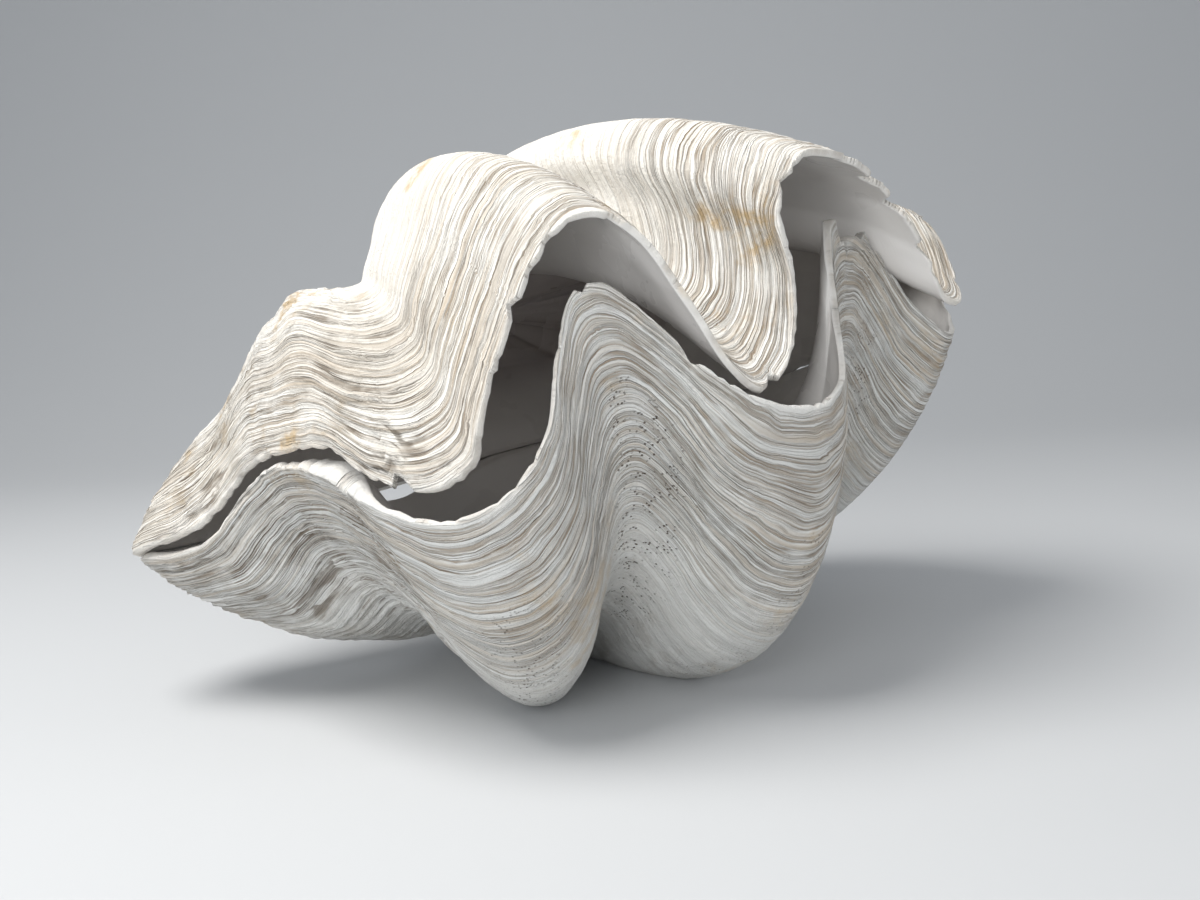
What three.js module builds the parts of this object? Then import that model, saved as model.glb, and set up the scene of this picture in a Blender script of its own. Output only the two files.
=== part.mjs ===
// Giant clam shell: two separate valves, lying on the lower one and gaping a little at the front.
// Millimetres. +Z is up, +X runs along the hinge and the scalloped mouth faces -Y.

import * as THREE from 'three';

// Each valve is set out in its own hinge frame: x along the hinge, -y toward the mouth and
// +z from the lower valve to the upper one. These angles lean that frame back to its resting pose.
const LEAN_BACK_DEGREES = -20.4;
const LEAN_SIDE_DEGREES = -4.7;
const LEAN_TURN_DEGREES = -1.9;

// Height of the ground below the middle of the hinge. The ribs are worn flat where they touch it.
const HINGE_HEIGHT = 123;

// Points taken between one margin station and the next round the edge of a valve.
const POINTS_PER_STATION = 3;

// Sizes of the growth lines that are kept, from the lip (1) toward the umbo (0).
const OUTER_RINGS = [1, 0.97, 0.92, 0.86, 0.79, 0.71, 0.62, 0.52, 0.4, 0.27, 0.13];
const INNER_RINGS = [1, 0.95, 0.86, 0.75, 0.63, 0.52];

// Wall thickness away from the lip: beside the hinge, and elsewhere near the mouth and deep inside.
const HINGE_WALL = 13;
const MOUTH_WALL = 11;
const DEEP_WALL = 20;

// Extra shell laid down inside the folds, which makes the hollow smoother than the outside.
const FOLD_FILL = 30;
const SMOOTHING_STATIONS = 3;

// The valves part at the plane of the hinge. Where the edge is at least as thick as this, it
// follows the hinge and keeps the gap to its own side.
const HINGE_GAP = 0.2;
const HINGE_EDGE = 10;

// The hollow draws in a little toward this point, in the hinge frame.
const HOLLOW_CENTRE = new THREE.Vector3(20, -150, 0);
const HOLLOW_SHRINK = 0.06;

// Stations round the edge of the lower valve, front edge from left to right and then back along
// the hinge. Each is [x, y, z, swell, drift, thickness]: swell bulges the wall outward between the
// lip and the umbo, drift carries it sideways and thickness is that of the edge itself.
const LOWER_EDGE = [
  // Left tip and the small first fold
  [-248, 0, -3, 22, 0, 12],
  [-222, -50, -10, 14, 1, 8],
  [-203, -100, 9, 2, 3, 7],
  [-199, -150, 8, 2, 4, 7],
  [-192, -187, -10, 6, 6, 7],
  [-184, -213, -34, 12, 8, 7],
  // First large rib
  [-164, -240, -55, 15, 10, 6],
  [-137, -262, -54, 13, 10, 6],
  [-112, -281, -30, 6, 9, 6],
  // First large valley
  [-99, -293, 6, 0, 9, 6],
  [-86, -304, 32, -3, 7, 6],
  [-72, -309, 34, -4, 6, 6],
  [-48, -314, 4, -3, 6, 6],
  // Second large rib
  [-30, -316, -22, 4, 5, 6],
  [-2, -317, -45, 14, 4, 6],
  [35, -316, -56, 20, 4, 6],
  [68, -311, -46, 14, 3, 6],
  // Second large valley
  [89, -306, -5, 0, 1, 6],
  [106, -308, 38, -6, 0, 7],
  [150, -290, 46, -10, 0, 7],
  [174, -280, 28, -14, 0, 6],
  // Third rib
  [188, -278, -3, -17, 0, 6],
  [204, -282, -28, -18, 0, 6],
  [222, -276, -28, -17, 0, 6],
  // Third valley
  [234, -268, -2, -16, 0, 6],
  [243, -258, 37, -15, 0, 6],
  [261, -238, 46, -12, 0, 6],
  [278, -206, 24, -9, 0, 7],
  // Last rib and the right end of the hinge
  [286, -172, -12, -6, 0, 7],
  [286, -138, -24, 2, 0, 8],
  [274, -100, -4, 12, 0, 11],
  [252, -60, -1, 20, 0, 12],
  [222, -20, -0.3, -2, 0, 20],
  // Hinge plate
  [140, -14, -0.2, -4, 0, 30],
  [60, -14, -0.2, -2, 0, 34],
  [-8, -14, -0.2, 0, 0, 32],
  // Notch for the foot, then the left end of the back edge
  [-38, -12, -8, -4, 0, 24],
  [-66, -8, -18, -4, 0, 16],
  [-96, 2, -14, -4, 0, 14],
  [-126, 20, -0.6, -2, 0, 14],
  [-176, 32, -0.4, 0, 0, 15],
  [-226, 30, -1, 8, 0, 14],
];

// Stations round the edge of the upper valve, in the same order.
const UPPER_EDGE = [
  // Left tip and the small first fold
  [-251, 0, 2, 26, -5, 12],
  [-223, -54, 1, 35, -9, 8],
  [-203, -102, 18, 37, -12, 7],
  [-199, -155, 14, 25, -22, 7],
  [-189, -192, 3, 25, -30, 7],
  [-178, -220, -27, 28, -30, 7],
  // First tongue
  [-162, -242, -38, 22, -30, 7],
  [-148, -257, -34, 17, -30, 6],
  [-140, -271, -12, 11, -30, 6],
  // First large rib
  [-125, -290, 20, 4, -30, 6],
  [-108, -309, 48, 2, -30, 6],
  [-88, -322, 64, 1, -30, 6],
  [-70, -328, 63, 0, -30, 6],
  [-51, -329, 47, 0, -32, 6],
  [-30, -323, 10, 0, -34, 6],
  // Second tongue
  [-11, -316, -26, 0, -36, 6],
  [6, -314, -40, 0, -38, 7],
  [26, -320, -28, -2, -40, 6],
  // Second large rib
  [34, -333, 10, -4, -42, 6],
  [30, -345, 46, -6, -44, 6],
  [49, -354, 71, -8, -45, 6],
  [84, -350, 73, -10, -46, 6],
  [160, -314, 62, -8, -34, 6],
  // Third tongue
  [191, -300, 32, -5, -28, 6],
  [210, -290, -9, -3, -27, 6],
  [224, -288, -12, 0, -22, 6],
  [238, -280, 12, 0, -18, 6],
  // Third rib
  [250, -268, 46, 2, -15, 6],
  [266, -246, 62, 4, -13, 6],
  [282, -214, 44, 6, -11, 7],
  // Last tongue and the right end of the hinge
  [290, -178, 2, 10, -9, 7],
  [290, -142, -14, 10, -7, 8],
  [278, -102, 1, 8, -5, 11],
  [254, -60, 1, 10, -3, 12],
  [222, -20, 0.3, -4, -2, 20],
  // Hinge plate
  [140, -14, 0.2, -4, 0, 30],
  [60, -14, 0.2, -2, 0, 34],
  [-8, -14, 0.2, 0, 0, 32],
  // Left end of the back edge
  [-38, -12, 0.6, -2, 0, 24],
  [-66, -8, 1.6, -4, 0, 18],
  [-96, 2, 1.6, -4, 0, 16],
  [-126, 20, 0.6, -4, 0, 16],
  [-176, 32, 0.4, 0, 0, 16],
  [-226, 30, 1, 8, 0, 16],
];

// A valve grows from its umbo: every growth line is the edge made smaller and turned about the
// hinge. Turn is the whole angle in degrees and curl says how early in its life it was turned.
const LOWER_VALVE = { side: -1, edge: LOWER_EDGE, umbo: new THREE.Vector3(0, 45, -116), turn: 30, curl: 3 };
const UPPER_VALVE = { side: 1, edge: UPPER_EDGE, umbo: new THREE.Vector3(0, 40, 85), turn: 34, curl: 2.2 };

// Share of the swell at a given ring: none at lip and umbo, most in between.
function swellShare(ring) {
  const peak = 5 / 7;
  const shape = (s) => (1 - s) ** 0.8 * s ** 2;
  return shape(ring) / shape(peak);
}

// Points all round the edge, each with the swell, drift and thickness that go with it.
function traceEdge(edge) {
  const places = edge.map(([x, y, z]) => new THREE.Vector3(x, y, z));
  const habits = edge.map((station) => new THREE.Vector3(station[3], station[4], station[5]));
  const placeCurve = new THREE.CatmullRomCurve3(places, true, 'centripetal');
  const habitCurve = new THREE.CatmullRomCurve3(habits, true, 'catmullrom', 0.5);
  const count = edge.length * POINTS_PER_STATION;
  const points = [];
  for (let i = 0; i < count; i += 1) {
    const place = placeCurve.getPoint(i / count);
    const habit = habitCurve.getPoint(i / count);
    points.push({ place, swell: habit.x, drift: habit.y, thickness: habit.z });
  }
  return points;
}

// The outline with its folds averaged away by a bell-shaped weighting along the edge.
function smoothOutline(points) {
  const width = SMOOTHING_STATIONS * POINTS_PER_STATION;
  const reach = 3 * width;
  const count = points.length;
  return points.map((point, i) => {
    const sum = new THREE.Vector3();
    let total = 0;
    for (let k = -reach; k <= reach; k += 1) {
      const weight = Math.exp(-0.5 * (k / width) ** 2);
      sum.addScaledVector(points[(i + k + 2 * count) % count].place, weight);
      total += weight;
    }
    return sum.divideScalar(total);
  });
}

// Where a point of the outline lies on the growth line of the given size.
function growPoint(valve, place, swell, drift, ring) {
  const angle = THREE.MathUtils.degToRad(valve.turn) * (1 - ring ** valve.curl);
  const cosine = Math.cos(angle);
  const sine = valve.side * Math.sin(angle);
  const arm = place.clone().sub(valve.umbo).multiplyScalar(ring);
  const grown = new THREE.Vector3(
    arm.x + drift * Math.sin(Math.PI * ring),
    cosine * arm.y + sine * arm.z,
    cosine * arm.z - sine * arm.y + valve.side * swell * swellShare(ring),
  );
  return grown.add(valve.umbo);
}

function outerRing(valve, points, ring) {
  return points.map((p) => growPoint(valve, p.place, p.swell, p.drift, ring));
}

// A growth line of the hollow: the outer one with softer folds, moved inward by the wall thickness.
function innerRing(valve, points, outline, ring) {
  const deep = 1 - THREE.MathUtils.smoothstep(ring, 0.6, 1);
  const shrink = HOLLOW_SHRINK * (1 - THREE.MathUtils.smoothstep(ring, 0.5, 1));
  const foldsKept = 0.15 + 0.85 * THREE.MathUtils.smoothstep(ring, 0.15, 1);
  const softened = points.map((p, i) => {
    const place = outline[i].clone().lerp(p.place, foldsKept);
    return place.lerp(HOLLOW_CENTRE, shrink);
  });
  const count = points.length;
  const ringPoint = (i, size) => {
    const p = points[i];
    return growPoint(valve, softened[i], p.swell, p.drift, size);
  };
  return points.map((p, i) => {
    const along = ringPoint((i + 1) % count, ring).sub(ringPoint((i + count - 1) % count, ring));
    const upward = ringPoint(i, Math.min(ring + 0.004, 1)).sub(ringPoint(i, ring - 0.004));
    const inward = along.cross(upward).multiplyScalar(valve.side).normalize();
    const nearHinge = THREE.MathUtils.smoothstep(p.thickness, 8, 16);
    const openWall = DEEP_WALL + (MOUTH_WALL - DEEP_WALL) * ring;
    const wall = openWall * (1 - nearHinge) + HINGE_WALL * nearHinge;
    const fill = (1 - foldsKept) * ring * FOLD_FILL * (1 - nearHinge);
    const depth = p.thickness * (1 - deep) + wall * deep + fill;
    const plateShare = THREE.MathUtils.smoothstep(p.thickness, 16, 26) * THREE.MathUtils.smoothstep(ring, 0.9, 1);
    const step = inward.multiplyScalar(depth * (1 - plateShare));
    step.y -= p.thickness * plateShare;
    return ringPoint(i, ring).add(step);
  });
}

// Holds the part of a ring that follows the hinge to its own side of the hinge plane.
function keepOwnSide(valve, points, ring) {
  ring.forEach((vertex, i) => {
    if (points[i].thickness > HINGE_EDGE) {
      vertex.z = valve.side * Math.max(valve.side * vertex.z, HINGE_GAP);
    }
  });
}

// Middle of a ring of points.
function ringCentre(ring) {
  const centre = new THREE.Vector3();
  ring.forEach((point) => centre.add(point));
  return centre.divideScalar(ring.length);
}

// One closed skin: rings from the umbo out to the lip, over the edge and down into the hollow.
function valveGeometry(valve, pose) {
  const points = traceEdge(valve.edge);
  const outline = smoothOutline(points);
  const outside = OUTER_RINGS.map((ring) => outerRing(valve, points, ring)).reverse();
  const inside = INNER_RINGS.map((ring) => innerRing(valve, points, outline, ring));
  [...outside, ...inside].forEach((ring) => keepOwnSide(valve, points, ring));
  const lastInside = inside[inside.length - 1];
  const hollowEnd = ringCentre(lastInside);
  const halfway = lastInside.map((point) => point.clone().lerp(hollowEnd, 0.5));
  const rings = [...outside, ...inside, halfway];
  const vertices = [valve.umbo.clone(), ...rings.flat(), hollowEnd];
  const count = points.length;
  const last = vertices.length - 1;
  const faces = [];
  for (let i = 0; i < count; i += 1) {
    const next = (i + 1) % count;
    faces.push([0, 1 + i, 1 + next]);
    for (let r = 0; r < rings.length - 1; r += 1) {
      const here = 1 + r * count;
      const beyond = here + count;
      faces.push([here + i, beyond + i, beyond + next]);
      faces.push([here + i, beyond + next, here + next]);
    }
    faces.push([last - count + i, last, last - count + next]);
  }
  const positions = vertices.flatMap((vertex) => {
    vertex.applyEuler(pose);
    return [vertex.x, vertex.y, Math.max(vertex.z + HINGE_HEIGHT, 0)];
  });
  const indices = faces.flatMap((face) => (valve.side > 0 ? face : [face[0], face[2], face[1]]));
  const geometry = new THREE.BufferGeometry();
  geometry.setAttribute('position', new THREE.Float32BufferAttribute(positions, 3));
  geometry.setIndex(indices);
  geometry.computeVertexNormals();
  return geometry;
}

const pose = new THREE.Euler(
  THREE.MathUtils.degToRad(LEAN_BACK_DEGREES),
  THREE.MathUtils.degToRad(LEAN_SIDE_DEGREES),
  THREE.MathUtils.degToRad(LEAN_TURN_DEGREES),
);

const lowerMaterial = new THREE.MeshStandardMaterial({ color: 0xd9d6cf, roughness: 0.8, metalness: 0 });
const upperMaterial = new THREE.MeshStandardMaterial({ color: 0xe6e0d4, roughness: 0.8, metalness: 0 });

const lowerValve = new THREE.Mesh(valveGeometry(LOWER_VALVE, pose), lowerMaterial);
lowerValve.name = 'lower_valve';

const upperValve = new THREE.Mesh(valveGeometry(UPPER_VALVE, pose), upperMaterial);
upperValve.name = 'upper_valve';

// The middle of the shell, seen from above, stands over the origin.
const shell = new THREE.Group();
shell.name = 'giant_clam_shell';
shell.add(lowerValve, upperValve);
const middle = new THREE.Box3().setFromObject(shell).getCenter(new THREE.Vector3());
lowerValve.position.set(-middle.x, -middle.y, 0);
upperValve.position.set(-middle.x, -middle.y, 0);

export default shell;
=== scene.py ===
# Giant clam shell: fine visual model of its two valves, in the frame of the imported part.
# The shell is worked out in millimetres and scaled to metres at the end. +Z is up and the mouth
# faces -Y.

import math

import bpy
import numpy as np
from mathutils import Matrix, Vector


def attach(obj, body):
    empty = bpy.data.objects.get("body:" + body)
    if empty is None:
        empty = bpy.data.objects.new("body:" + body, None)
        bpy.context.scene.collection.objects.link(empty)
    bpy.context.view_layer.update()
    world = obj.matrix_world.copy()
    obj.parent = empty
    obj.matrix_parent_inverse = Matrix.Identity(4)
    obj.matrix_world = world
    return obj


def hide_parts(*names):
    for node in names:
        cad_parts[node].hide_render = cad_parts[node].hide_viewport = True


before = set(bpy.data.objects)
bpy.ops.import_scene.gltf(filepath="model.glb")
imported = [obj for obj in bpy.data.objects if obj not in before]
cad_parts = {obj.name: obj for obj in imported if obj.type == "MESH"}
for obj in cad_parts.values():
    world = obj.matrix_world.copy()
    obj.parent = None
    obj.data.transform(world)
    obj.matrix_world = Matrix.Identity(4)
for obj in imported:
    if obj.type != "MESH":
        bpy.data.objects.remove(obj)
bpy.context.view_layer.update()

MILLIMETRE = 0.001

# ---------------------------------------------------------------------------------------------
# The shell's form, as in the solid part. Only two places differ by a few millimetres: the crest of
# the lower lip at its second large valley is higher here, and the slit at the right end of the
# hinge is narrower.
# ---------------------------------------------------------------------------------------------

# Resting pose of the hinge frame (x along the hinge, -y toward the mouth, +z to the upper valve),
# and where the middle of the hinge lies in the part's own frame.
LEAN_DEGREES = (-20.4, -4.7, -1.9)
HINGE_PLACE = np.array([-17.780, 124.612, 123.0])

# Half the slit left along the hinge, and the thickness above which an edge belongs to the hinge.
HINGE_GAP = 0.4
HINGE_EDGE = 10.0

# Thicknesses between which an edge turns from lip to hinge wall, and from hinge wall to hinge plate.
LIP_TO_HINGE = (8, 16)
WALL_TO_PLATE = (16, 26)

# Walls of the hollow, and how its folds soften with depth.
HINGE_WALL = 13.0
MOUTH_WALL = 11.0
DEEP_WALL = 20.0
FOLD_FILL = 30.0
LIP_THINNING = 0.4
SMOOTHING_STATIONS = 3.0
HOLLOW_CENTRE = np.array([20.0, -150.0, 0.0])
HOLLOW_SHRINK = 0.06

# Stations round the edge of each valve, front edge from left to right and back along the hinge:
# x, y, z, swell of the wall outward, drift of the wall sideways and thickness of the edge.
LOWER_EDGE = [
    # Left tip and the small first fold
    (-248, 0, -3, 22, 0, 12),
    (-222, -50, -10, 14, 1, 8),
    (-203, -100, 9, 2, 3, 7),
    (-199, -150, 8, 2, 4, 7),
    (-192, -187, -10, 6, 6, 7),
    (-184, -213, -34, 12, 8, 7),
    # First large rib
    (-164, -240, -55, 15, 10, 6),
    (-137, -262, -54, 13, 10, 6),
    (-112, -281, -30, 6, 9, 6),
    # First large valley
    (-99, -293, 6, 0, 9, 6),
    (-86, -304, 32, -3, 7, 6),
    (-72, -309, 34, -4, 6, 6),
    (-48, -314, 4, -3, 6, 6),
    # Second large rib
    (-30, -316, -22, 4, 5, 6),
    (-2, -317, -45, 14, 4, 6),
    (35, -316, -56, 20, 4, 6),
    (68, -311, -46, 14, 3, 6),
    # Second large valley
    (89, -306, -5, 0, 1, 6),
    (104, -310, 44, -6, 0, 7),
    (150, -290, 51, -10, 0, 7),
    (174, -280, 28, -14, 0, 6),
    # Third rib
    (188, -278, -3, -17, 0, 6),
    (204, -282, -28, -18, 0, 6),
    (222, -276, -28, -17, 0, 6),
    # Third valley
    (234, -268, -2, -16, 0, 6),
    (243, -258, 37, -15, 0, 6),
    (261, -238, 46, -12, 0, 6),
    (278, -206, 24, -9, 0, 7),
    # Last rib and the right end of the hinge
    (286, -172, -12, -6, 0, 7),
    (286, -138, -24, 2, 0, 8),
    (274, -100, -1, 12, 0, 11),
    (252, -60, -0.6, 20, 0, 12),
    (222, -20, -0.3, -2, 0, 20),
    # Hinge plate
    (140, -14, -0.2, -4, 0, 30),
    (60, -14, -0.2, -2, 0, 34),
    (-8, -14, -0.2, 0, 0, 32),
    # Notch for the foot, then the left end of the back edge
    (-38, -12, -8, -4, 0, 24),
    (-66, -8, -18, -4, 0, 16),
    (-96, 2, -14, -4, 0, 14),
    (-126, 20, -0.6, -2, 0, 14),
    (-176, 32, -0.4, 0, 0, 15),
    (-226, 30, -1, 8, 0, 14),
]

UPPER_EDGE = [
    # Left tip and the small first fold
    (-251, 0, 2, 26, -5, 12),
    (-223, -54, 1, 35, -9, 8),
    (-203, -102, 18, 37, -12, 7),
    (-199, -155, 14, 25, -22, 7),
    (-189, -192, 3, 25, -30, 7),
    (-178, -220, -27, 28, -30, 7),
    # First tongue
    (-162, -242, -38, 22, -30, 7),
    (-148, -257, -34, 17, -30, 6),
    (-140, -271, -12, 11, -30, 6),
    # First large rib
    (-125, -290, 20, 4, -30, 6),
    (-108, -309, 48, 2, -30, 6),
    (-88, -322, 64, 1, -30, 6),
    (-70, -328, 63, 0, -30, 6),
    (-51, -329, 47, 0, -32, 6),
    (-30, -323, 10, 0, -34, 6),
    # Second tongue
    (-11, -316, -26, 0, -36, 6),
    (6, -314, -40, 0, -38, 7),
    (26, -320, -28, -2, -40, 6),
    # Second large rib
    (34, -333, 10, -4, -42, 6),
    (30, -345, 46, -6, -44, 6),
    (49, -354, 71, -8, -45, 6),
    (84, -350, 73, -10, -46, 6),
    (160, -314, 62, -8, -34, 6),
    # Third tongue
    (191, -300, 32, -5, -28, 6),
    (210, -290, -9, -3, -27, 6),
    (224, -288, -12, 0, -22, 6),
    (238, -280, 12, 0, -18, 6),
    # Third rib
    (250, -268, 46, 2, -15, 6),
    (266, -246, 62, 4, -13, 6),
    (282, -214, 44, 6, -11, 7),
    # Last tongue and the right end of the hinge
    (290, -178, 2, 10, -9, 7),
    (290, -142, -14, 10, -7, 8),
    (278, -102, 0.8, 8, -5, 11),
    (254, -60, 0.6, 10, -3, 12),
    (222, -20, 0.3, -4, -2, 20),
    # Hinge plate
    (140, -14, 0.2, -4, 0, 30),
    (60, -14, 0.2, -2, 0, 34),
    (-8, -14, 0.2, 0, 0, 32),
    # Left end of the back edge
    (-38, -12, 0.6, -2, 0, 24),
    (-66, -8, 1.6, -4, 0, 18),
    (-96, 2, 1.6, -4, 0, 16),
    (-126, 20, 0.6, -4, 0, 16),
    (-176, 32, 0.4, 0, 0, 16),
    (-226, 30, 1, 8, 0, 16),
]

# ---------------------------------------------------------------------------------------------
# What the fine model adds, valve by valve. Places round the edge are given in stations.
# ---------------------------------------------------------------------------------------------

# Chips out of the lip: station, half width in stations, depth as a share of the shell's growth.
LOWER_CHIPS = [
    (4.3, 0.16, 0.008), (10.3, 0.12, 0.006), (12.6, 0.16, 0.005), (18.45, 0.22, 0.020),
    (18.75, 0.25, 0.024), (19.1, 0.2, 0.018), (19.6, 0.14, 0.008),
    (20.2, 0.2, 0.006), (25.4, 0.3, 0.014), (25.7, 0.16, 0.008), (27.2, 0.2, 0.008),
    (29.3, 0.4, 0.012), (31.2, 0.3, 0.012), (40.5, 0.5, 0.02),
]
UPPER_CHIPS = [
    (0.6, 0.4, 0.006), (5.4, 0.2, 0.008), (9.4, 0.15, 0.006), (12.3, 0.14, 0.005),
    (16.35, 0.14, 0.007), (21.25, 0.10, 0.016), (21.8, 0.12, 0.020),
    (22.35, 0.2, 0.013), (23.2, 0.12, 0.010), (27.3, 0.22, 0.012), (28.5, 0.3, 0.016),
    (29.6, 0.16, 0.030), (30.4, 0.4, 0.022), (32.2, 0.3, 0.010),
]

# Swollen lips: station, half width in stations, extra thickness in millimetres.
LOWER_LIPS = [(4.1, 1.1, 12.0), (18.7, 0.9, 8.0), (25.7, 0.55, 9.0)]
UPPER_LIPS = [(6.3, 1.5, 4.0), (16.3, 0.8, 2.0)]

# Stretches with coarse broken ledges in place of fine lines: station, half width, strength.
LOWER_LEDGES = [(1.6, 2.6, 1.0), (4.2, 1.3, 0.8), (30.5, 1.8, 0.5), (40.0, 2.5, 0.8)]
UPPER_LEDGES = [(1.2, 2.4, 0.8), (5.2, 3.0, 1.0), (32.0, 2.0, 0.6), (41.5, 3.0, 0.8)]

# Old skin that is riddled with small dark pits: station, half width, strength.
LOWER_PITS = [(11.0, 1.9, 1.0), (6.5, 2.0, 0.45), (15.5, 2.6, 0.45), (20.0, 2.0, 0.5)]
UPPER_PITS = [(21.5, 3.0, 0.35), (12.0, 2.5, 0.2)]

LOWER_VALVE = {
    "node": "lower_valve", "slot": "lower_shell", "side": -1, "edge": LOWER_EDGE,
    "umbo": (0, 45, -116), "turn": 30.0, "curl": 3.0, "seed": 11,
    "chips": LOWER_CHIPS, "lips": LOWER_LIPS, "ledges": LOWER_LEDGES, "pits": LOWER_PITS,
}
UPPER_VALVE = {
    "node": "upper_valve", "slot": "upper_shell", "side": 1, "edge": UPPER_EDGE,
    "umbo": (0, 40, 85), "turn": 34.0, "curl": 2.2, "seed": 29,
    "chips": UPPER_CHIPS, "lips": UPPER_LIPS, "ledges": UPPER_LEDGES, "pits": UPPER_PITS,
}

# Mesh density: points round a ring, rings outside, over the lip and inside.
POINTS_ROUND = 440
OUTER_ROWS = 176
RIM_ROWS = 5
INNER_ROWS = 36

# Growth at the first ring outside and the last ring inside, and how far toward the middle the rings
# lie that close the floor of the hollow.
FIRST_AGE = 0.015
INNERMOST_AGE = 0.52
CLOSING_SHARES = (0.3, 0.6, 0.85)

# Growth ridges, in shares of the shell's growth and in millimetres.
RIDGE_SPACING = (0.006, 0.0145)
RIDGE_HEIGHT = (0.5, 2.1)
LEDGE_SPACING = (0.018, 0.042)
LEDGE_HEIGHT = (1.4, 4.2)

# Roughness of the skin: size of each kind's cells in millimetres, and what it adds to the valve's
# seed.
ROUGHNESS = {
    "crumble": (9.0, 1), "nibble": (3.6, 2), "slow_waver": (34.0, 3), "quick_waver": (8.0, 4),
    "patches": (55.0, 5), "large_lumps": (16.0, 6), "small_lumps": (7.0, 7), "grain": (3.2, 8),
    "inner_wave": (30.0, 9), "rim_crumbs": (5.0, 10), "rim_grit": (2.6, 12), "splits": (1.0, 13),
    "split_patches": (21.0, 14), "heave": (27.0, 15),
}

# Splits in the ledges: spacing in millimetres of stations, of growth and of the growth lines' waver,
# and the length and width of a split.
STATION_LENGTH = 28.0
GROWTH_LENGTH = 330.0
WAVER_LENGTH = 825.0
SPLIT_SIZE = np.array([24.0, 3.6, 1.0])

# Growth over which the skin goes from old and worn to young.
OLD_AGE = 0.25
YOUNG_AGE = 0.8

# Loss along the whole lip, as shares of growth: crumbled stretches and small nibbles. It starts in
# front of the hinge, between these two places.
CRUMBLE_LOSS = 0.007
NIBBLE_LOSS = 0.0045
LOSS_FRONT = (-30, -90)


def smoothstep(low, high, value):
    """0 below low, 1 above high and a smooth ramp between."""
    share = np.clip((value - low) / (high - low), 0, 1)
    return share * share * (3 - 2 * share)


def value_noise(points, scale, seed):
    """Smooth noise in -1..1 at each point, with cells of the given size."""
    cells = np.asarray(points) / scale
    base = np.floor(cells).astype(np.int64)
    part = cells - base
    part = part * part * (3 - 2 * part)
    total = np.zeros(len(cells))
    for corner in range(8):
        step = np.array([corner & 1, (corner >> 1) & 1, (corner >> 2) & 1])
        lattice = base + step
        mixed = lattice @ np.array([374761393, 668265263, 2147483647]) + seed * 974711
        mixed = (mixed ^ (mixed >> 13)) * 1274126177
        mixed = (mixed ^ (mixed >> 16)) & 0xFFFFFF
        weight = np.prod(np.where(step, part, 1 - part), axis=1)
        total += weight * (mixed / 0x7FFFFF - 1)
    return total


def closed_spline(table, where, centripetal):
    """Catmull-Rom curve through the rows of a closed table, at the given stations."""
    rows = np.asarray(table, float)
    count = len(rows)
    index = np.floor(where).astype(int)
    u = (where - index)[:, None]
    a, b, c, d = (rows[(index + k) % count] for k in (-1, 0, 1, 2))
    if centripetal:
        spans = ((a, b), (b, c), (c, d))
        ab, bc, cd = (np.linalg.norm(q - p, axis=1, keepdims=True) ** 0.5 for p, q in spans)
        start = ((b - a) / ab - (c - a) / (ab + bc) + (c - b) / bc) * bc
        end = ((c - b) / bc - (d - b) / (bc + cd) + (d - c) / cd) * bc
    else:
        start = (c - a) / 2
        end = (d - b) / 2
    square = 3 * (c - b) - 2 * start - end
    cube = 2 * (b - c) + start + end
    return b + start * u + square * u**2 + cube * u**3


def bump(where, centre, half_width, count):
    """1 at a station, easing to 0 at half_width stations from it, round a closed edge."""
    away = np.abs((where - centre + count / 2) % count - count / 2)
    return 1 - smoothstep(0, half_width, away)


def lean_matrix(degrees):
    """Rotation of the resting pose, turned about x, then y, then z."""
    a, b, c = np.radians(degrees)
    about_x = np.array([[1, 0, 0], [0, math.cos(a), -math.sin(a)], [0, math.sin(a), math.cos(a)]])
    about_y = np.array([[math.cos(b), 0, math.sin(b)], [0, 1, 0], [-math.sin(b), 0, math.cos(b)]])
    about_z = np.array([[math.cos(c), -math.sin(c), 0], [math.sin(c), math.cos(c), 0], [0, 0, 1]])
    return about_x @ about_y @ about_z


LEAN = lean_matrix(LEAN_DEGREES)


def even_stations(edge, count):
    """Places round the edge, in stations, that stand about the same distance apart."""
    parts = 40
    fine = np.arange(len(edge) * parts) / parts
    places = closed_spline([row[:3] for row in edge], fine, True)
    steps = np.linalg.norm(np.roll(places, -1, 0) - places, axis=1)
    along = np.concatenate([[0], np.cumsum(steps)])
    wanted = np.linspace(0, along[-1], count, endpoint=False)
    return np.interp(wanted, along, np.append(fine, len(edge)))


def steps_profile(rng, spacing, heights):
    """Where the edges of old growth stages lie between umbo and lip, and how high each stands."""
    edges = [0.0]
    while edges[-1] < 1.05:
        edges.append(edges[-1] + rng.uniform(*spacing))
    return np.array(edges), rng.uniform(*heights, len(edges))


def stepped(profile, age):
    """Height of a skin of overlapping stages: each rises to its edge and drops behind it.
    Also the count of stages so far, with its fraction."""
    edges, heights = profile
    index = np.clip(np.searchsorted(edges, age) - 1, 0, len(edges) - 2)
    share = (age - edges[index]) / (edges[index + 1] - edges[index])
    rise = share**1.6 * (1 - smoothstep(0.88, 1.0, share))
    return heights[index + 1] * rise, index + np.clip(share, 0, 1)


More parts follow.
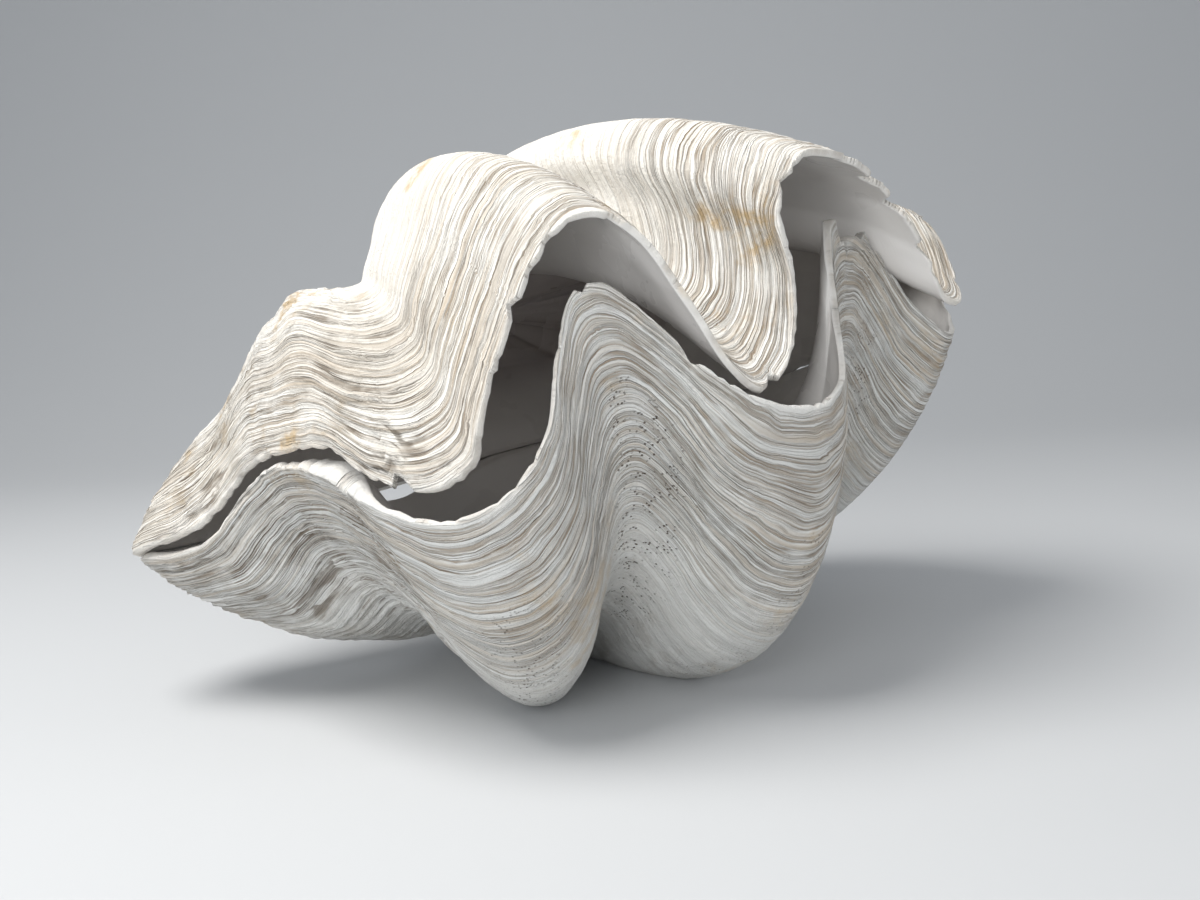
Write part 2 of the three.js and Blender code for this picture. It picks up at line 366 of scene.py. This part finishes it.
class Valve:
    """One valve: its growth, its fine relief and its mesh."""

    def __init__(self, kind):
        self.kind = kind
        self.side = kind["side"]
        self.umbo = np.array(kind["umbo"], float)
        self.count = len(kind["edge"])
        self.where = even_stations(kind["edge"], POINTS_ROUND)
        self.places = closed_spline([row[:3] for row in kind["edge"]], self.where, True)
        habits = closed_spline([row[3:] for row in kind["edge"]], self.where, False)
        self.swell, self.drift, self.thickness = habits.T
        self.outline = self.smooth_outline()
        rng = np.random.default_rng(kind["seed"])
        self.ridges = steps_profile(rng, RIDGE_SPACING, RIDGE_HEIGHT)
        self.ledges = steps_profile(rng, LEDGE_SPACING, LEDGE_HEIGHT)
        self.lip_age = self.broken_lip()
        self.ledge_share = self.share_of(kind["ledges"])
        self.extra_lip = self.share_of(kind["lips"])
        self.pitted_share = self.share_of(kind["pits"])

    def noise(self, kind, places):
        """One kind of roughness at the given places."""
        size, seed = ROUGHNESS[kind]
        return value_noise(places, size, self.kind["seed"] + seed)

    def share_of(self, features):
        """How strongly a list of features (station, half width, strength) shows at each point."""
        total = np.zeros(POINTS_ROUND)
        for centre, half_width, strength in features:
            total += strength * bump(self.where, centre, half_width, self.count)
        return total

    def smooth_outline(self):
        """The outline with its folds averaged away by a bell-shaped weighting along the edge."""
        parts = 6
        even = np.arange(self.count * parts) / parts
        rows = closed_spline([row[:3] for row in self.kind["edge"]], even, True)
        width = SMOOTHING_STATIONS * parts
        reach = int(3 * width)
        steps = np.arange(-reach, reach + 1)
        weights = np.exp(-0.5 * (steps / width) ** 2)
        total = np.zeros_like(rows)
        for step, weight in zip(steps, weights / weights.sum()):
            total += weight * np.roll(rows, -step, 0)
        closed = np.vstack([total, total[:1]])
        grid = np.append(even, self.count)
        return np.stack([np.interp(self.where, grid, closed[:, k]) for k in range(3)], 1)

    def broken_lip(self):
        """Age of the lip at each point: 1 where it is whole, less where it is chipped."""
        crumble = self.noise("crumble", self.places)
        nibble = self.noise("nibble", self.places)
        front = smoothstep(*LOSS_FRONT, self.places[:, 1])
        loss = CRUMBLE_LOSS * np.clip(crumble, 0, 1) ** 2
        loss += NIBBLE_LOSS * np.clip(nibble - 0.15, 0, 1)
        rough = 1 + 0.35 * nibble
        for centre, half_width, depth in self.kind["chips"]:
            near = bump(self.where, centre, half_width, self.count)
            loss = loss + depth * rough * smoothstep(0, 0.45, near)
        return 1 - loss * front

    def grow(self, outline, age):
        """Where the points of an outline lie at the given ages, from 0 at the umbo to 1 at the lip."""
        fullest = 5 / 7
        belly = (1 - age) ** 0.8 * age**2 / ((1 - fullest) ** 0.8 * fullest**2)
        angle = math.radians(self.kind["turn"]) * (1 - age ** self.kind["curl"])
        cosine, sine = np.cos(angle), self.side * np.sin(angle)
        arm = (outline - self.umbo) * age[:, None]
        grown = np.stack([
            arm[:, 0] + self.drift * np.sin(math.pi * age),
            cosine * arm[:, 1] + sine * arm[:, 2],
            cosine * arm[:, 2] - sine * arm[:, 1] + self.side * self.swell * belly,
        ], 1)
        return grown + self.umbo

    def row_normals(self, outline_at, age):
        """Outward directions of the skin along one row."""
        step = 0.004
        here = self.grow(outline_at(age), age)
        along = np.roll(here, -1, 0) - np.roll(here, 1, 0)
        older = np.clip(age - step, 0, 1)
        younger = np.minimum(age + step, 1)
        upward = self.grow(outline_at(younger), younger) - self.grow(outline_at(older), older)
        outward = -self.side * np.cross(along, upward)
        return here, outward / np.linalg.norm(outward, axis=1, keepdims=True)

    def outer_outline(self, age):
        """The folds of the outside, which fade into a rounded beak at the umbo."""
        beak = 0.75 * (1 - smoothstep(0.0, 0.22, age))[:, None]
        return self.places * (1 - beak) + self.outline * beak

    def inner_outline(self, age):
        """The folds of the hollow, which are softer than those outside."""
        kept = (0.15 + 0.85 * smoothstep(0.15, 1, age))[:, None]
        softened = self.outline + kept * (self.places - self.outline)
        shrink = (HOLLOW_SHRINK * (1 - smoothstep(0.5, 1, age)))[:, None]
        return softened + (HOLLOW_CENTRE - softened) * shrink

    def waver(self, here):
        """How far the growth lines wander, as a share of growth."""
        return 0.0048 * self.noise("slow_waver", here) + 0.0016 * self.noise("quick_waver", here)

    def splits(self, here, age, waver):
        """1 in the splits that run along the growth lines, 0 beside them."""
        across = age * GROWTH_LENGTH + waver * WAVER_LENGTH
        flow = np.stack([self.where * STATION_LENGTH, across, np.full(POINTS_ROUND, 0.5)], 1)
        away = np.abs(self.noise("splits", flow / SPLIT_SIZE))
        present = smoothstep(0.0, 0.4, self.noise("split_patches", here))
        return (1 - smoothstep(0.0, 0.16, away)) * present

    def outer_row(self, share):
        """One row of the outside: places, and what the material needs to know of each."""
        age = share * self.lip_age
        here, outward = self.row_normals(self.outer_outline, age)
        waver = self.waver(here)
        patches = self.noise("patches", here)
        old = 1 - smoothstep(OLD_AGE, YOUNG_AGE, age)
        worn = np.clip(old + 0.3 * patches + 0.3 * self.ledge_share, 0, 1)
        ledged = self.ledge_share * smoothstep(0.15, 0.6, age) + 0.25 * np.clip(patches, 0, 1)
        ledged = np.clip(ledged, 0, 1.1)
        split = self.splits(here, age, waver)

        # Ridges are crisp near the lip and worn down on old skin, ledges are coarse and broken
        ridge, grown = stepped(self.ridges, np.clip(age + waver, 0.0, 1.04))
        ledge, _ = stepped(self.ledges, np.clip(age + 3.2 * waver, 0.0, 1.04))
        fresh = 0.14 + 0.86 * smoothstep(0.76, 0.94, age + 0.05 * patches)
        relief = ridge * fresh * (1.0 - 0.7 * worn) * (0.7 + 0.5 * np.clip(patches + 0.3, 0, 1))
        relief += ledge * (0.06 + 0.8 * ledged) * (1 - 0.6 * old)

        # Lumps, grain, the heave of broken ledges and their splits
        lumps = self.noise("large_lumps", here) + 0.6 * self.noise("small_lumps", here)
        relief += lumps * (0.2 + 0.7 * worn) + self.noise("grain", here) * (0.08 + 0.35 * worn)
        relief += 2.2 * ledged * self.noise("heave", here)
        relief -= split * (0.06 + 2.0 * np.clip(ledged, 0, 1))
        relief *= smoothstep(0, 0.12, age)
        relief *= 1 - 0.35 * smoothstep(0.985, 1.0, share)

        riddled = self.pitted_share * smoothstep(0.45, 0.62, age) * (1 - smoothstep(0.88, 0.95, age))
        marks = {
            "growth": grown, "within": np.zeros(POINTS_ROUND), "worn": worn, "ledged": ledged,
            "lip": np.full(POINTS_ROUND, smoothstep(0.993, 1.0, share)),
            "crack": split * np.clip(ledged, 0, 1), "pitted": riddled,
        }
        return here + outward * relief[:, None], marks

    def inner_row(self, share):
        """One row of the hollow's skin, the wall thickness in from the outside."""
        age = share * self.lip_age
        here, outward = self.row_normals(self.inner_outline, age)
        deep = 1 - smoothstep(0.6, 1, age)
        hinge = smoothstep(*LIP_TO_HINGE, self.thickness)
        thin = 1 - LIP_THINNING * smoothstep(0.955, 1.0, share) * (1 - hinge)
        lip = self.thickness * thin + self.extra_lip * smoothstep(0.82, 1.0, share)
        wall = (DEEP_WALL + (MOUTH_WALL - DEEP_WALL) * age) * (1 - hinge) + HINGE_WALL * hinge
        kept = 0.15 + 0.85 * smoothstep(0.15, 1, age)
        fill = (1 - kept) * age * FOLD_FILL * (1 - hinge)
        depth = lip * (1 - deep) + wall * deep + fill
        depth = depth + 0.5 * self.noise("inner_wave", here)
        plate = smoothstep(*WALL_TO_PLATE, self.thickness) * smoothstep(0.9, 1, age)
        step = -outward * (depth * (1 - plate))[:, None]
        step[:, 1] -= self.thickness * plate
        return here + step

    def rim_rows(self, outer, inner):
        """Rows over the lip, from its outer edge to its inner one, a little rounded."""
        age = self.lip_age
        older = self.grow(self.places, age - 0.006)
        forward = self.grow(self.places, age) - older
        forward /= np.linalg.norm(forward, axis=1, keepdims=True)
        width = np.linalg.norm(inner - outer, axis=1)
        rough = 0.8 * (1 - smoothstep(0, 8, self.extra_lip))
        crumbs = self.noise("rim_crumbs", outer) + self.noise("rim_grit", outer)
        rows = []
        for k in range(1, RIM_ROWS + 1):
            share = k / (RIM_ROWS + 1)
            crown = 0.11 * width * math.sin(math.pi * share) * (1 + rough * crumbs)
            rows.append(outer + (inner - outer) * share + forward * crown[:, None])
        return rows

    def keep_own_side(self, row):
        """Holds the part of a row that follows the hinge to its own side of the hinge plane."""
        beside = self.thickness > HINGE_EDGE
        held = self.side * np.maximum(self.side * row[:, 2], HINGE_GAP)
        row[:, 2] = np.where(beside, held, row[:, 2])
        return row

    def build(self):
        """The valve's closed mesh, with what its material needs to know at each point."""
        rise = np.linspace(1, 0, OUTER_ROWS)
        outer_shares = 1 - (1 - FIRST_AGE) * (0.5 * rise + 0.5 * rise**2)
        inner_shares = 1 - (1 - INNERMOST_AGE) * np.linspace(0, 1, INNER_ROWS) ** 1.4
        rows, marks = [], []
        for share in outer_shares:
            row, mark = self.outer_row(share)
            rows.append(row)
            marks.append(mark)
        edge = marks[-1]
        none = np.zeros(POINTS_ROUND)
        inside = [self.inner_row(share) for share in inner_shares]
        for k, row in enumerate(self.rim_rows(rows[-1], inside[0])):
            within = np.full(POINTS_ROUND, 0.25 + 0.5 * k / RIM_ROWS)
            rows.append(row)
            marks.append(edge | {"within": within, "lip": none + 1, "crack": none, "pitted": none})
        for share, row in zip(inner_shares, inside):
            rows.append(row)
            marks.append({
                "growth": edge["growth"] * share, "within": none + 1, "worn": none, "ledged": none,
                "lip": none + smoothstep(0.985, 1.0, share), "crack": none, "pitted": none,
            })
        rows = [self.keep_own_side(row) for row in rows]
        innermost = rows[-1]
        centre = innermost.mean(0)
        for share in CLOSING_SHARES:
            rows.append(innermost + (centre - innermost) * share)
            marks.append(marks[-1])
        return self.mesh(rows, marks, centre)

    def mesh(self, rows, marks, centre):
        """Joins the rows into a closed skin that ends at the umbo outside and at a centre inside."""
        ends = [self.umbo[None], *rows, centre[None]]
        points = np.vstack(ends) @ LEAN.T + HINGE_PLACE
        points[:, 2] = np.maximum(points[:, 2], 0)
        count = POINTS_ROUND
        start = 1 + count * np.arange(len(rows))
        here = np.arange(count)
        beside = (here + 1) % count
        corners = (here, count + here, count + beside, beside)
        faces = np.vstack([np.stack([row + corner for corner in corners], 1) for row in start[:-1]])
        pole = len(points) - 1
        first = np.stack([np.zeros(count, int), 1 + here, 1 + beside], 1)
        final = np.stack([start[-1] + here, np.full(count, pole), start[-1] + beside], 1)
        if self.side < 0:
            faces, first, final = faces[:, ::-1], first[:, ::-1], final[:, ::-1]
        shape = bpy.data.meshes.new(self.kind["node"] + "_skin")
        faces = faces.tolist() + first.tolist() + final.tolist()
        shape.from_pydata((points * MILLIMETRE).tolist(), [], faces)
        for name in marks[0]:
            middle = [mark[name] for mark in marks]
            values = np.concatenate([middle[0][:1], *middle, middle[-1][:1]])
            layer = shape.attributes.new(name, "FLOAT", "POINT")
            layer.data.foreach_set("value", values.astype(np.float32))
        shape.polygons.foreach_set("use_smooth", np.ones(len(shape.polygons), bool))
        shape.update()
        return shape


# ---------------------------------------------------------------------------------------------
# Materials
# ---------------------------------------------------------------------------------------------


class Nodes:
    """Short ways to add and join shader nodes."""

    def __init__(self, name):
        self.material = bpy.data.materials.new(name)
        self.material.use_nodes = True
        self.tree = self.material.node_tree
        self.tree.nodes.clear()

    def add(self, kind, **settings):
        node = self.tree.nodes.new(kind)
        for key, value in settings.items():
            setattr(node, key, value)
        return node

    def join(self, source, socket):
        self.tree.links.new(source, socket)

    def feed(self, socket, value):
        if isinstance(value, bpy.types.NodeSocket):
            self.join(value, socket)
        else:
            socket.default_value = value

    def attribute(self, name):
        return self.add("ShaderNodeAttribute", attribute_name=name).outputs["Fac"]

    def math(self, operation, a, b=0.0, clamp=False):
        node = self.add("ShaderNodeMath", operation=operation, use_clamp=clamp)
        self.feed(node.inputs[0], a)
        self.feed(node.inputs[1], b)
        return node.outputs[0]

    def times(self, *factors):
        """Product of two or more values."""
        product = factors[0]
        for factor in factors[1:]:
            product = self.math("MULTIPLY", product, factor)
        return product

    def plus(self, a, b):
        return self.math("ADD", a, b)

    def minus(self, a, b):
        return self.math("SUBTRACT", a, b)

    def ramp(self, value, low, high, to_low=0.0, to_high=1.0):
        """A smooth ramp from to_low where the value is low to to_high where it is high."""
        node = self.add("ShaderNodeMapRange", interpolation_type="SMOOTHSTEP")
        for socket, number in zip(node.inputs, (value, low, high, to_low, to_high)):
            self.feed(socket, number)
        return node.outputs[0]

    def mix(self, share, a, b):
        """Colour a, giving way to colour b as the share goes from 0 to 1."""
        node = self.add("ShaderNodeMix", data_type="RGBA")
        factor, first, second, result = 0, 6, 7, 2
        self.feed(node.inputs[factor], share)
        self.feed(node.inputs[first], a)
        self.feed(node.inputs[second], b)
        return node.outputs[result]

    def noise(self, vector, scale, detail=3.0, roughness=0.55, growth=None, rate=1.0):
        """Noise of the given scale. With growth, it also changes rate times with each stage."""
        node = self.add("ShaderNodeTexNoise", noise_dimensions="3D" if growth is None else "4D")
        self.join(vector, node.inputs["Vector"])
        if growth is not None:
            self.feed(node.inputs["W"], self.times(growth, rate / scale))
        node.inputs["Scale"].default_value = scale
        node.inputs["Detail"].default_value = detail
        node.inputs["Roughness"].default_value = roughness
        return node.outputs["Fac"]

    def thread(self, value, level, half_width):
        """A thin wandering line: 1 where a value crosses a level, 0 at half_width from it."""
        away = self.math("ABSOLUTE", self.minus(value, level))
        return self.ramp(away, 0.0, half_width, 1.0, 0.0)

    def cells(self, vector, scale):
        """Distance from the nearest of many scattered points."""
        node = self.add("ShaderNodeTexVoronoi", feature="F1")
        self.join(vector, node.inputs["Vector"])
        node.inputs["Scale"].default_value = scale
        return node.outputs["Distance"]

    def surface(self, shader):
        """Ends the tree with the given shader and gives back the material."""
        output = self.add("ShaderNodeOutputMaterial")
        self.join(shader.outputs["BSDF"], output.inputs["Surface"])
        return self.material


# The lower valve's chalk and lime are partly the valve's own greyer tone and partly painted shade with
# a cool painted reflection, so they are darker and cooler than the upper valve's.
CHALK_LOWER_WITH_PAINTED_SHADE = (0.76, 0.755, 0.725, 1)
CHALK_UPPER = (0.84, 0.82, 0.775, 1)
LIME_LOWER_WITH_PAINTED_SHADE = (0.64, 0.64, 0.62, 1)
LIME_UPPER = (0.76, 0.72, 0.65, 1)
LINE_TAN = (0.40, 0.30, 0.19, 1)
LINE_GREY = (0.36, 0.32, 0.27, 1)
LINE_DARK = (0.27, 0.20, 0.13, 1)
OCHRE = (0.52, 0.36, 0.17, 1)
DIRT = (0.16, 0.125, 0.09, 1)
BREAK = (0.77, 0.745, 0.70, 1)
PORCELAIN = (0.80, 0.775, 0.745, 1)
# Grey mauve: painted shade in the depths of the hollow, and also random clouds on the porcelain.
MAUVE_CLOUD_AND_PAINTED_SHADE = (0.44, 0.385, 0.37, 1)
WARM_BAND = (0.70, 0.62, 0.53, 1)


# Depth of the relief that is too fine for the mesh, in metres.
BUMP_DEPTH = 0.0016


class ShellSkin:
    """The nodes of one valve's material, which read the mesh's own marks."""

    def __init__(self, name):
        n = self.nodes = Nodes(name)
        place = self.place = n.add("ShaderNodeTexCoord").outputs["Object"]
        growth = self.growth = n.attribute("growth")
        self.within = n.attribute("within")
        self.worn = n.attribute("worn")
        self.ledged = n.attribute("ledged")
        self.lip = n.attribute("lip")

        # Growth lines: noise that changes fast with growth and slowly along each line
        self.fine = n.noise(place, 6.5, 2.0, 0.5, growth, 1.5)
        self.broad = n.noise(place, 6.0, 2.0, 0.5, growth, 0.28)
        hair = n.noise(place, 15.0, 2.0, 0.6, growth, 3.3)
        self.foot = n.minus(1.0, n.ramp(n.math("FRACT", growth), 0.0, 0.2))
        self.crest = n.ramp(n.math("FRACT", growth), 0.62, 0.86)
        self.groove = n.thread(self.fine, 0.5, 0.05)
        self.scratch = n.thread(hair, 0.5, 0.05)

        # Clouds, blotches and grain of the whole skin
        self.cloud = n.noise(place, 11.0, 4.0, 0.6)
        self.mottle = n.noise(place, 60.0, 4.0, 0.65)
        self.grain = n.noise(place, 420.0, 3.0, 0.7)
        self.patch = n.noise(place, 4.2, 2.0, 0.5)
        self.breaks = n.noise(place, 34.0, 3.0, 0.6)

        # Small round pits, on worn skin and where the valve is riddled with them
        riddled = n.plus(n.times(self.worn, 0.3), n.attribute("pitted"))
        grouped = n.ramp(n.noise(place, 90.0, 2.0), 0.44, 0.58)
        pits = n.times(n.ramp(n.cells(place, 430.0), 0.34, 0.12), grouped)
        self.speck = n.times(pits, n.ramp(riddled, 0.1, 0.7))

        # 1 on the young skin near the lip
        self.young = n.ramp(growth, 72.0, 90.0, 0.16, 1.0)

    def grown_colour(self, chalk, lime, strength):
        """Chalk and lime in bands, with the dark foot, grooves and scratches of growth lines."""
        n = self.nodes
        clean = n.times(self.young, n.minus(1.0, n.times(self.worn, 0.7)))
        shown = n.times(clean, n.ramp(self.breaks, 0.30, 0.58, 0.25, 1.0))
        colour = n.mix(n.ramp(self.cloud, 0.35, 0.7), chalk, lime)
        colour = n.mix(n.times(n.ramp(self.broad, 0.50, 0.70), 0.55), colour, lime)
        tint = n.times(n.ramp(self.fine, 0.51, 0.66), clean, n.ramp(self.patch, 0.3, 0.62, 0.45, 1.0))
        colour = n.mix(n.times(tint, strength), colour, LINE_TAN)
        colour = n.mix(n.times(self.crest, 0.25), colour, chalk)
        colour = n.mix(n.times(self.scratch, shown, strength * 0.5), colour, LINE_GREY)
        colour = n.mix(n.times(self.groove, shown, strength), colour, LINE_DARK)
        colour = n.mix(n.times(self.foot, shown, strength * 0.9), colour, LINE_DARK)
        split = n.times(n.plus(n.times(self.foot, 0.7), self.groove), n.ramp(self.ledged, 0.25, 0.9))
        split = n.math("MULTIPLY", split, n.ramp(self.breaks, 0.42, 0.6), clamp=True)
        return n.mix(n.times(split, strength), colour, DIRT)

    def soiled_colour(self, colour, lime, stain_strength, pit_strength):
        """The same with ochre stains, grey weathering, dirt in pits and cracks, and a broken lip."""
        n = self.nodes
        stain = n.ramp(n.noise(self.place, 15.0, 5.0, 0.62), 0.56, 0.70)
        stain = n.times(stain, n.ramp(self.mottle, 0.38, 0.62))
        colour = n.mix(n.times(stain, stain_strength), colour, OCHRE)
        weather = n.plus(n.times(self.worn, 0.45), n.times(self.ledged, 0.2))
        colour = n.mix(n.times(n.ramp(self.mottle, 0.46, 0.66), weather), colour, LINE_GREY)
        colour = n.mix(n.times(n.ramp(self.cloud, 0.46, 0.62), weather, 0.7), colour, LINE_GREY)
        colour = n.mix(n.times(self.speck, pit_strength), colour, DIRT)
        crack = n.ramp(n.attribute("crack"), 0.15, 0.8)
        colour = n.mix(n.times(crack, 0.65), colour, DIRT)
        broken = n.mix(n.ramp(self.mottle, 0.45, 0.7), BREAK, lime)
        return n.mix(n.times(self.lip, 0.55), colour, broken)

    def porcelain_colour(self):
        """Porcelain of the hollow, with painted shade that turns it greyer and warmer toward the
        depths.
        """
        n = self.nodes
        # Painted shade: the hollow darkens to grey mauve as it goes deeper.
        depth = n.ramp(self.growth, 78.0, 48.0)
        colour = n.mix(n.times(n.ramp(self.patch, 0.35, 0.7), 0.35), PORCELAIN, WARM_BAND)
        colour = n.mix(n.times(depth, 0.75), colour, MAUVE_CLOUD_AND_PAINTED_SHADE)
        # Random clouds of the same grey mauve.
        return n.mix(n.times(n.ramp(self.cloud, 0.5, 0.75), 0.25), colour, MAUVE_CLOUD_AND_PAINTED_SHADE)

    def relief(self):
        """Height of lines, grain, chalky lumps and pits."""
        n = self.nodes
        lined = n.times(self.fine, 0.7)
        lined = n.minus(lined, n.times(self.groove, 0.55))
        lined = n.minus(lined, n.times(self.scratch, 0.25))
        height = n.times(lined, n.plus(n.times(self.young, 0.75), 0.15))
        height = n.plus(height, n.times(self.grain, 0.5))
        chalky = n.plus(self.worn, n.minus(1.3, self.young))
        height = n.plus(height, n.times(self.mottle, chalky))
        return n.minus(height, n.times(self.speck, 1.2))


def shell_material(name, chalk, lime, lines_strength, stain_strength, pit_strength):
    """Chalky grown outside, broken lip and porcelain inside."""
    skin = ShellSkin(name)
    n = skin.nodes
    inner = n.ramp(skin.within, 0.3, 0.9)
    outside = skin.grown_colour(chalk, lime, lines_strength)
    outside = skin.soiled_colour(outside, lime, stain_strength, pit_strength)
    outer_rough = n.ramp(skin.mottle, 0.3, 0.7, 0.72, 0.92)
    inner_rough = n.ramp(skin.cloud, 0.3, 0.7, 0.24, 0.4)
    roughness = n.plus(n.times(outer_rough, n.minus(1.0, inner)), n.times(inner_rough, inner))

    bumps = n.add("ShaderNodeBump")
    bumps.inputs["Distance"].default_value = BUMP_DEPTH
    n.feed(bumps.inputs["Height"], skin.relief())
    n.feed(bumps.inputs["Strength"], n.minus(1.0, n.times(inner, 0.93)))

    shader = n.add("ShaderNodeBsdfPrincipled")
    shader.inputs["IOR"].default_value = 1.5
    shader.inputs["Specular IOR Level"].default_value = 0.4
    n.join(n.mix(inner, outside, skin.porcelain_colour()), shader.inputs["Base Color"])
    n.join(roughness, shader.inputs["Roughness"])
    n.join(bumps.outputs["Normal"], shader.inputs["Normal"])
    return n.surface(shader)


def build_valve(kind, material):
    """One valve's piece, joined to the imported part."""
    piece = bpy.data.objects.new(kind["node"] + "_shell", Valve(kind).build())
    piece.data.materials.append(material)
    bpy.context.collection.objects.link(piece)
    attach(piece, "root")
    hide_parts(kind["node"])
    return piece


# ---------------------------------------------------------------------------------------------
# Studio, in metres
# ---------------------------------------------------------------------------------------------

# The camera's place, and the directions it looks in and holds upward.
CAMERA_PLACE = Vector((-0.4712, -0.6415, 0.2545))
CAMERA_FORWARD = Vector((0.5914, 0.7946, -0.1373))
CAMERA_UP = Vector((0.1242, 0.0784, 0.9891))
LENS_LENGTH = 36.0
SENSOR_WIDTH = 36.0

# The floor's half width, its ends before and behind the shell, the radius of its bend and the
# height of the backdrop.
FLOOR_HALF_WIDTH = 6.0
FLOOR_FRONT = -4.0
FLOOR_BACK = 2.6
FLOOR_BEND = 1.6
FLOOR_BEND_STEPS = 16
BACKDROP_HEIGHT = 5.0
FLOOR_GREY = (0.56, 0.57, 0.58, 1)

# Soft lights: name, place, width and height, power in watts and colour. All aim at the shell.
LIGHT_AIM = Vector((0.0, 0.0, 0.18))
LIGHTS = [
    ("overhead", (-0.75, 0.05, 1.5), (0.9, 0.8), 28.0, (1.0, 0.985, 0.96)),
    ("front_left", (-1.7, -1.3, 0.8), (1.0, 1.0), 15.0, (0.96, 0.98, 1.0)),
    ("right", (1.2, -1.5, 0.9), (1.0, 1.0), 5.0, (1.0, 0.97, 0.93)),
]
ROOM_COLOUR = (0.86, 0.9, 0.95, 1)
ROOM_STRENGTH = 0.48


def studio_floor():
    """Pale seamless floor that curves up into a backdrop behind the shell."""
    flat_end = FLOOR_BACK - FLOOR_BEND
    section = [(FLOOR_FRONT, 0.0), (flat_end, 0.0)]
    for k in range(1, FLOOR_BEND_STEPS + 1):
        turn = math.pi / 2 * k / FLOOR_BEND_STEPS
        section.append((flat_end + FLOOR_BEND * math.sin(turn), FLOOR_BEND * (1 - math.cos(turn))))
    section.append((FLOOR_BACK, BACKDROP_HEIGHT))
    heading = Vector((CAMERA_FORWARD.x, CAMERA_FORWARD.y, 0.0)).normalized()
    across = Vector((heading.y, -heading.x, 0.0))
    points = []
    for run, rise in section:
        for side in (-FLOOR_HALF_WIDTH, FLOOR_HALF_WIDTH):
            points.append(heading * run + across * side + Vector((0, 0, rise)))
    faces = [(2 * k, 2 * k + 1, 2 * k + 3, 2 * k + 2) for k in range(len(section) - 1)]
    shape = bpy.data.meshes.new("studio_floor")
    shape.from_pydata(points, [], faces)
    shape.polygons.foreach_set("use_smooth", np.ones(len(shape.polygons), bool))
    floor = bpy.data.objects.new("studio_floor", shape)
    n = Nodes("pale_paper")
    shader = n.add("ShaderNodeBsdfPrincipled")
    shader.inputs["Base Color"].default_value = FLOOR_GREY
    shader.inputs["Roughness"].default_value = 0.7
    shape.materials.append(n.surface(shader))
    bpy.context.collection.objects.link(floor)


def soft_light(name, place, size, power, colour):
    """A rectangular light that faces the shell."""
    lamp = bpy.data.lights.new(name, "AREA")
    lamp.shape = "RECTANGLE"
    lamp.size, lamp.size_y = size
    lamp.energy = power
    lamp.color = colour
    holder = bpy.data.objects.new(name, lamp)
    holder.location = place
    holder.rotation_mode = "QUATERNION"
    holder.rotation_quaternion = (LIGHT_AIM - Vector(place)).to_track_quat("-Z", "Y")
    bpy.context.collection.objects.link(holder)


def studio_lights():
    """The soft lights and an even pale room."""
    for light in LIGHTS:
        soft_light(*light)
    world = bpy.data.worlds.new("room")
    world.use_nodes = True
    background = world.node_tree.nodes["Background"]
    background.inputs["Color"].default_value = ROOM_COLOUR
    background.inputs["Strength"].default_value = ROOM_STRENGTH
    bpy.context.scene.world = world


def camera():
    """Low view from the front left, close to the shell and rolled a little."""
    forward = CAMERA_FORWARD.normalized()
    right = forward.cross(CAMERA_UP).normalized()
    up = right.cross(forward).normalized()
    lens = bpy.data.cameras.new("camera")
    lens.lens = LENS_LENGTH
    lens.sensor_width = SENSOR_WIDTH
    lens.clip_start = 0.01
    holder = bpy.data.objects.new("camera", lens)
    holder.rotation_mode = "QUATERNION"
    holder.rotation_quaternion = Matrix((right, up, -forward)).transposed().to_quaternion()
    holder.location = CAMERA_PLACE
    bpy.context.collection.objects.link(holder)
    bpy.context.scene.camera = holder


# The lower valve's chalk and lime carry painted shade and a cool painted reflection.
lower_material = shell_material("lower_shell", CHALK_LOWER_WITH_PAINTED_SHADE, LIME_LOWER_WITH_PAINTED_SHADE, 0.74, 0.35, 1.0)
upper_material = shell_material("upper_shell", CHALK_UPPER, LIME_UPPER, 0.82, 0.85, 0.6)
build_valve(LOWER_VALVE, lower_material)
build_valve(UPPER_VALVE, upper_material)
studio_floor()
studio_lights()
camera()
bpy.context.scene.view_settings.view_transform = "Standard"
